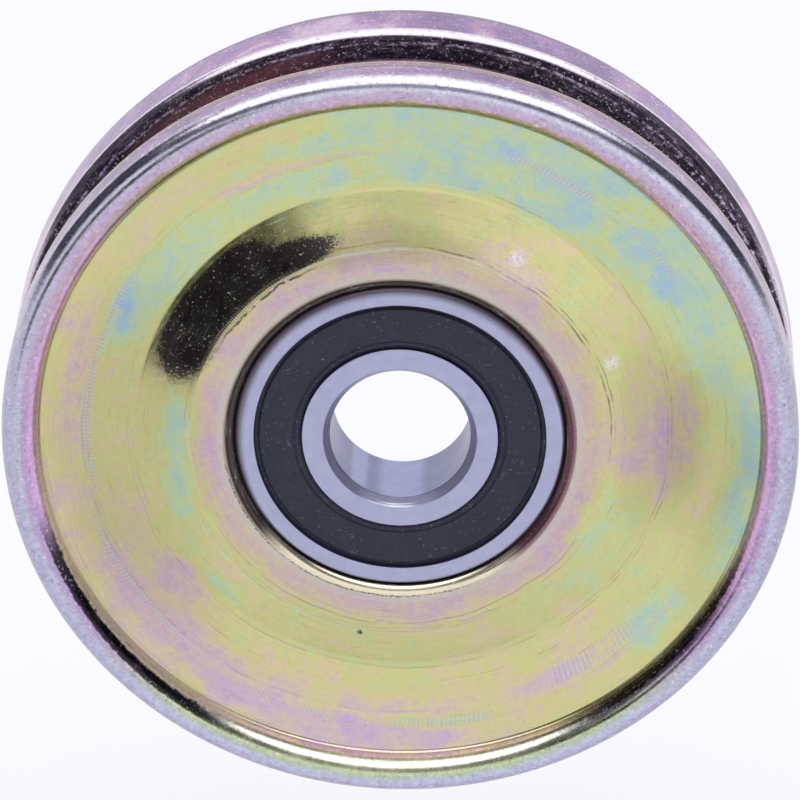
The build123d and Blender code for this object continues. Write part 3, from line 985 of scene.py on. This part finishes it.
def dark_reflection_and_burr(s, color):
    """The speckled dark patch on the cone, a painted reflection of dark surroundings, and the ladder-like
    burr below it.

    Returns the mask of the burr's raised rungs as well."""
    n = s.n
    ragged = n.vary(s.radius, s.mottle, 2.2)
    # painted dark reflection: a speckled patch on the cone with light flecks
    dark_reflection = patch(n, ragged, s.direction, 143, 28.4, 10.2, 4.0)
    dark_reflection = n.math("MAXIMUM", dark_reflection, n.times(patch(n, ragged, s.direction, 124, 26.9, 8.5, 2.0), 0.72))
    dark_reflection = n.vary(dark_reflection, s.grain, 0.9)
    dark_reflection = n.times(n.smooth(dark_reflection, 0.22, 0.5), n.smooth(s.radius, 31.8, 31.2))
    spill = n.math("MAXIMUM", n.smooth(s.radius, 25.1, 25.4), n.times(s.sector(157, 5, 2), 0.7))
    dark_reflection = n.times(dark_reflection, spill)
    flecks = n.times(n.smooth(n.noise(s.position, 3.0, 2.0, 0.6, 0.0, s.seed + 31), 0.62, 0.68), dark_reflection)
    color = n.paint(color, dark_reflection, PAINTED_DARK_REFLECTION, 0.9)
    color = n.paint(color, flecks, PAINTED_REFLECTION_FLECK)

    wandering = n.vary(s.radius, s.blotch, 1.4)
    rungs = n.math("SINE", n.times(n.angle_from(s.position, LADDER_ANGLE), LADDER_RUNGS))
    burr = n.times(between(n, wandering, 25.0, 25.75, 0.1), s.sector(138, 17, 6))
    worn = n.times(burr, 0.7)
    color = n.paint(color, worn, n.mix(n.smooth(rungs, -0.8, 0.8), BURR_DARK, BURR_LIGHT))
    edge = n.times(between(n, wandering, 24.6, 24.95, 0.1), s.sector(132, 16, 6))
    color = n.paint(color, n.times(edge, n.smooth(s.mottle, 0.4, 0.52)), BURR_EDGE, 0.85)
    return color, n.times(burr, n.smooth(rungs, -0.4, 0.4))


def worn_spots(s, color):
    """Two rubbed smudges and a nick on the front."""
    n = s.n
    for smudge in SMUDGES:
        rubbed_off = n.smooth(s.distance_to(smudge), 1.4, 0.4)
        rubbed_off = n.times(rubbed_off, n.smooth(s.grain, 0.42, 0.54))
        color = n.paint(color, rubbed_off, RUBBED_OFF, 0.8)
    nick = n.smooth(s.distance_to(NICK), 0.5, 0.25)
    return n.paint(color, n.times(nick, n.smooth(s.grain, 0.4, 0.5)), NICK_TONE)


def zinc(name, patches, seed, side):
    """Yellow zinc plating, its colours laid out by radius, direction and distance from the mid-plane."""
    material, n, shader = new_material(name)
    s = Surface(n, seed)
    front = side == FRONT
    edge = GROOVE_ROLL_OFFSET[side]

    web = film_color(s, patches)
    rim, theta = rim_color(s)
    if front:
        # the wall, with its foot painted light and its crescents painted dark reflection
        rim, foot = front_wall(s, rim, theta)
    on_rim = n.smooth(n.vary(s.radius, s.mottle, 0.2), *RIM_STARTS)
    color = land_color(s, n.mix(on_rim, web, rim))
    color = front_land(s, color, edge) if front else rear_land(s, color, edge)
    color, flank, pink_reflection = flank_color(s, color, edge)
    color, crevice = mouth_color(s, color)
    raised = []
    if front:
        color, raised = tool_marks(s, color)

    long_noise = s.rings(22.0, 0.5, 2.0, seed + 20)
    hairs = n.times(hairline(n, long_noise, 0.5, 0.018), n.smooth(s.blotch, 0.46, 0.62))
    color = n.paint(color, hairs, HAIR, 0.35)
    dark_hairs = n.times(hairline(n, long_noise, 0.6, 0.012), n.smooth(s.blotch, 0.56, 0.44))
    color = n.paint(color, dark_hairs, DARK_HAIR, 0.4)
    specks = n.noise(s.position, 4.2, 2.0, 0.5, 0.0, seed + 21)
    flecks = n.smooth(specks, 0.67, 0.72)
    pits = n.times(n.smooth(specks, 0.3, 0.26), n.smooth(s.mottle, 0.5, 0.62))
    color = n.paint(color, flecks, FLECK, 0.35)
    color = n.paint(color, pits, PIT, 0.5)
    rim_mottle = n.noise(s.position, 1.9, 4.0, 0.7, 0.0, seed + 22)
    rim_specks = n.noise(s.position, 2.6, 3.0, 0.6, 0.0, seed + 23)
    color = n.paint(color, n.times(n.smooth(rim_specks, 0.6, 0.68), on_rim), RIM_LIGHT_SPECK, 0.7)
    color = n.paint(color, n.times(n.smooth(rim_specks, 0.38, 0.32), on_rim), RIM_DARK_SPECK, 0.6)

    shade = n.scaled(n.times(n.centred(rim_mottle), on_rim), 1.0, 1.0)
    for noise, weight in ((s.mottle, 0.16), (s.grain, 0.14), (s.fine_streaks, 0.1)):
        shade = n.vary(shade, noise, weight)
    if front:
        # painted shade on the front
        for *place, change in PAINTED_SHADE:
            shade = n.scaled(s.patch(*place), change, shade)
        # the painted dark reflection on the cone, and the burr
        color, rungs = dark_reflection_and_burr(s, color)
        raised.append(rungs)
        color = worn_spots(s, color)
    n.put(shader.inputs["Base Color"], n.vector("SCALE", color, scale=shade))

    # less metallic where the reflection is too dark for the colour to show
    metallic = n.scaled(crevice, -0.75, 1.0)
    metallic = n.scaled(n.times(flank, pink_reflection), -0.8, metallic)
    if front:
        metallic = n.scaled(foot, -0.6, metallic)
    n.put(shader.inputs["Metallic"], metallic)

    rough = n.smooth(s.blotch, 0.3, 0.7, 0.16, 0.24)
    for mask, weight in ((flecks, 0.4), (hairs, 0.15), (flank, 0.12)):
        rough = n.scaled(mask, weight, rough)
    n.put(shader.inputs["Roughness"], rough)

    height = n.scaled(s.mottle, 0.5, n.times(s.grain, 0.22))
    height = n.scaled(n.times(rim_mottle, on_rim), 2.4, height)
    for texture, weight in ((flecks, 0.25), (s.fine_streaks, 0.12), *((mark, 0.6) for mark in raised)):
        height = n.scaled(texture, weight, height)
    n.put(shader.inputs["Normal"], n.bump(height, 0.00001, 0.8))
    return material


def ground_steel(name):
    """Ground and honed bearing steel with rings left by the grinding, painted shade on the rounded corner
    that is darkest at the top, and painted highlights in the bore and on its chamfer at the bottom.
    """
    material, n, shader = new_material(name)
    position, _, y, _, radius, direction = polar(n)
    rings = ring_noise(n, n.math("ADD", radius, y), direction, 30.0, 0.12, 3.0, 31.0)
    soft = n.noise(position, 0.5, 3.0, 0.55, 0.0, 32.0)
    color = n.mix(rings, srgb(166, 168, 198), srgb(178, 180, 208))

    dx, _, dz = n.separate(direction)
    # painted shade on the rounded corner, wider at the top and left; the outermost edge is dark at the top
    # and lighter at the bottom
    corner_low = n.smooth(n.scaled(dx, -0.5, dz), -0.6, 0.7, 19.5, 18.6)
    corner_high = n.smooth(dz, -0.6, 0.5, 19.8, 19.75)
    rounded = n.smooth(radius, corner_low, corner_high)
    color = n.paint(color, rounded, srgb(92, 84, 98))
    outermost = n.smooth(radius, 19.75, 19.95)
    color = n.mix(outermost, color, n.mix(n.smooth(dz, -0.2, -0.6), srgb(58, 50, 54), srgb(150, 145, 162)))

    bore = n.smooth(radius, 8.6, 8.54)
    # painted highlights in the bore towards the bottom
    bore_highlights = n.math("ADD", sector(n, direction, 233, 3, 8), sector(n, direction, 270, 15, 9))
    bore_highlights = n.vary(bore_highlights, soft, 0.5)
    color = n.mix(bore, color, n.mix(n.smooth(bore_highlights, 0.0, 1.0), srgb(126, 129, 160), srgb(152, 155, 190)))
    chamfer = between(n, radius, 8.56, 9.28, 0.03)
    color = n.paint(color, chamfer, srgb(134, 135, 160))
    # a painted highlight on the chamfer at the bottom
    glint = n.times(sector(n, direction, 262, 16, 10), between(n, radius, 9.0, 9.34, 0.06))
    color = n.paint(color, n.times(glint, n.smooth(rings, 0.4, 0.6)), srgb(232, 233, 244))

    color = n.vector("SCALE", color, scale=n.smooth(soft, 0.3, 0.7, 0.95, 1.05))
    n.put(shader.inputs["Base Color"], color)
    n.put(shader.inputs["Metallic"], n.scaled(n.math("MAXIMUM", chamfer, rounded), -0.7, 1.0))
    n.put(shader.inputs["Roughness"], n.smooth(rings, 0.3, 0.7, 0.26, 0.34))
    n.put(shader.inputs["Normal"], n.bump(rings, 0.000001))
    return material


def rubber(name):
    """Moulded seal rubber with fine grain, dust and short light scuffs."""
    material, n, shader = new_material(name)
    position, *_ = polar(n)
    grain = n.noise(position, 6.0, 4.0, 0.6, 0.0, 41.0)
    soft = n.noise(position, 0.35, 3.0, 0.55, 0.0, 42.0)
    color = n.mix(soft, srgb(34, 36, 50), srgb(50, 52, 70))
    dust = n.smooth(n.noise(position, 3.2, 2.0, 0.5, 0.0, 43.0), 0.66, 0.72)
    scratches = hairline(n, n.noise(position, 0.7, 2.0, 0.5, 0.8, 44.0), 0.5, 0.01)
    scuffs = n.times(scratches, n.smooth(n.noise(position, 0.9, 2.0, 0.5, 0.0, 45.0), 0.57, 0.65))
    color = n.paint(color, dust, srgb(140, 142, 158), 0.4)
    color = n.paint(color, scuffs, srgb(150, 152, 168), 0.5)
    n.put(shader.inputs["Base Color"], color)
    n.put(shader.inputs["Roughness"], n.smooth(grain, 0.3, 0.7, 0.42, 0.58))
    n.put(shader.inputs["Specular IOR Level"], 0.3)
    n.put(shader.inputs["Normal"], n.bump(grain, 0.000012))
    return material


def groove_floor_zinc(name):
    """Dull plating at the bottom of the groove."""
    material, n, shader = new_material(name)
    position, _, y, _, _, direction = polar(n)
    soft = n.noise(position, 0.4, 4.0, 0.6, 0.0, 61.0)
    rings = ring_noise(n, y, direction, 20.0, 0.3, 2.0, 62.0)
    color = n.ramp(n.scaled(rings, 0.4, n.times(soft, 0.6)), GROOVE_FLOOR_FILM)
    n.put(shader.inputs["Base Color"], color)
    n.put(shader.inputs["Metallic"], 1.0)
    n.put(shader.inputs["Roughness"], n.smooth(soft, 0.3, 0.7, 0.28, 0.42))
    n.put(shader.inputs["Normal"], n.bump(soft, 0.00001))
    return material


zinc_front = zinc("zinc_front", FRONT_PATCHES, 11.0, FRONT)
zinc_back = zinc("zinc_back", REAR_PATCHES, 57.0, REAR)
steel = ground_steel("bearing_steel")
seal_black = rubber("seal_rubber")
zinc_floor = groove_floor_zinc("zinc_floor")


# ---------------------------------------------------------------- pieces


def dress(piece, material, body, slot, *nodes):
    """Gives a piece its material and body, and hides the CAD nodes that it stands for. The slot is not used.
    """
    piece.data.materials.clear()
    piece.data.materials.append(material)
    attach(piece, body)
    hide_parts(*nodes)


dress(lathe("front_disc", front_disc_profile, FRONT, MID_Y), zinc_front, "pulley", "zinc", "front_shell")
dress(lathe("rear_disc", rear_disc_profile, REAR, MID_Y), zinc_back, "pulley", "zinc_rear", "rear_shell")
dress(lathe("groove_floor", floor_profile, REAR, MID_Y), zinc_floor, "pulley", "zinc_floor", "groove_ring")
dress(lathe("bearing_outer", outer_profile), steel, "pulley", "bearing_outer_steel", "outer_ring")
dress(lathe("bearing_inner", inner_profile), steel, "inner_race", "bearing_inner_steel", "inner_ring")
for side, name in ((FRONT, "front"), (REAR, "rear")):
    seal = lathe(f"{name}_seal", rubber_profile, side)
    dress(seal, seal_black, "pulley", "seal_rubber", f"{name}_seal_rubber")
    insert = lathe(f"{name}_insert", insert_profile, side)
    dress(insert, steel, "pulley", "insert_steel", f"{name}_seal_insert")

for name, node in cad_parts.items():
    if name.startswith(("ball_", "cage_")):
        node.data.materials.clear()
        node.data.materials.append(steel)


# ---------------------------------------------------------------- studio

FLOOR_REACH = 4.0  # metres
FLOOR_LEVEL = -0.12
CARD_DISTANCE = 0.4
CARD_CORNERS = [(-13.0, 9.0), (-25.5, 20.5), (-50.0, -9.5), (-38.0, -16.5)]  # azimuth, elevation in degrees
PALE = (0.93, 0.93, 0.94)
BLACK = (0.01, 0.01, 0.014)
WHITE = (1.0, 1.0, 1.0)

# Light from the world by elevation, as a share of 90 degrees
FRONT_LIGHT = [
    (0.00, (1.0, 1.0, 1.02)),
    (0.17, (0.98, 0.98, 1.0)),
    (0.25, (0.14, 0.14, 0.17)),
    (0.45, (0.12, 0.12, 0.15)),
    (0.52, (1.7, 1.7, 1.72)),
    (0.90, (1.7, 1.7, 1.72)),
    (1.00, (1.45, 1.45, 1.47)),
]
BACK_LIGHT = [
    (0.0, (0.95, 0.95, 0.98)),
    (0.5, (1.0, 1.0, 1.02)),
    (0.8, (1.35, 1.35, 1.37)),
    (1.0, (1.45, 1.45, 1.47)),
]
SIDE_LIGHT = [
    (0.00, (0.5, 0.5, 0.52)),
    (0.03, (0.05, 0.05, 0.07)),
    (0.46, (0.05, 0.05, 0.07)),
    (0.54, (1.6, 1.6, 1.62)),
    (1.00, (1.45, 1.45, 1.47)),
]
CENTRE_LIGHT = (1.0, 1.0, 1.02)
LIGHT_STRENGTH = 1.09

CAMERA_LENS = 244.4
CAMERA_AZIMUTH = 1.6
CAMERA_ELEVATION = 26.05
CAMERA_DISTANCE = 654.70  # millimetres, from the point that the camera looks at
CAMERA_RIGHT = 0.01945
CAMERA_UP = 4.6501
CAMERA_TARGET = Vector((0, -6, 0))


def aim(azimuth, elevation, distance=1.0):
    """A point seen from the part at an azimuth to the right of the front and an elevation, in degrees."""
    a, e = math.radians(azimuth), math.radians(elevation)
    return (
        distance * math.sin(a) * math.cos(e),
        -distance * math.cos(a) * math.cos(e),
        distance * math.sin(e),
    )


def panel(name, corners, color):
    """A matt four-cornered panel of the studio."""
    mesh = bpy.data.meshes.new(name)
    mesh.from_pydata(corners, [], [(0, 1, 2, 3)])
    piece = bpy.data.objects.new(name, mesh)
    bpy.context.scene.collection.objects.link(piece)
    material, n, shader = new_material(name)
    n.put(shader.inputs["Base Color"], color)
    n.put(shader.inputs["Roughness"], 0.9)
    n.put(shader.inputs["Specular IOR Level"], 0.0)
    mesh.materials.append(material)
    return piece


quarters = ((-1, -1), (1, -1), (1, 1), (-1, 1))
panel("studio_floor", [(x * FLOOR_REACH, y * FLOOR_REACH, FLOOR_LEVEL) for x, y in quarters], PALE)

# A black card that only reflections see, which the cone mirrors
card = panel("black_card", [aim(a, e, CARD_DISTANCE) for a, e in CARD_CORNERS], BLACK)
card.visible_camera = False
card.visible_shadow = False
card.visible_diffuse = False

# World light by elevation, and by how far a direction points to the front: -1 at the rear, 1 at the front
scene = bpy.context.scene
world = bpy.data.worlds.new("studio")
scene.world = world
world.use_nodes = True
w = Nodes(world.node_tree)
background = next(node for node in world.node_tree.nodes if node.type == "BACKGROUND")
sky = w.vector("NORMALIZE", w.add("ShaderNodeTexCoord").outputs["Generated"])
dx, dy, dz = w.separate(sky)
elevation = w.times(w.math("ARCSINE", dz), DEGREES)
flat_length = w.math("SQRT", w.math("ADD", w.times(dx, dx), w.times(dy, dy)))
towards = w.math("DIVIDE", w.times(dy, -1.0), w.math("MAXIMUM", flat_length, 0.001))
front_side = w.smooth(towards, -0.45, 0.1)
front_light, back_light, side_light = (
    w.ramp(w.times(elevation, 1 / 90), stops) for stops in (FRONT_LIGHT, BACK_LIGHT, SIDE_LIGHT)
)
beside = w.times(w.smooth(towards, 0.72, 0.52), w.smooth(towards, -0.74, -0.6))
centre = w.times(w.smooth(towards, 0.93, 0.99), between(w, elevation, 22, 41, 3))
studio = w.mix(front_side, back_light, front_light)
studio = w.paint(studio, centre, CENTRE_LIGHT, 0.28)
studio = w.mix(beside, studio, side_light)
seen = w.add("ShaderNodeLightPath").outputs["Is Camera Ray"]
w.put(background.inputs["Color"], w.mix(seen, studio, WHITE))
w.put(background.inputs["Strength"], LIGHT_STRENGTH)

camera_data = bpy.data.cameras.new("camera")
camera_data.sensor_width = 36.0
camera_data.lens = CAMERA_LENS
camera_data.clip_start = 0.01
camera_data.clip_end = 20.0
camera = bpy.data.objects.new("camera", camera_data)
scene.collection.objects.link(camera)
back = Vector(aim(CAMERA_AZIMUTH, CAMERA_ELEVATION))
right = Vector(aim(CAMERA_AZIMUTH + 90, 0))
up = back.cross(right)
place = Matrix((right, up, back)).transposed().to_4x4()
place.translation = (back * CAMERA_DISTANCE + right * CAMERA_RIGHT + up * CAMERA_UP + CAMERA_TARGET) * MM
camera.matrix_world = place
scene.camera = camera

scene.view_settings.view_transform = "Standard"
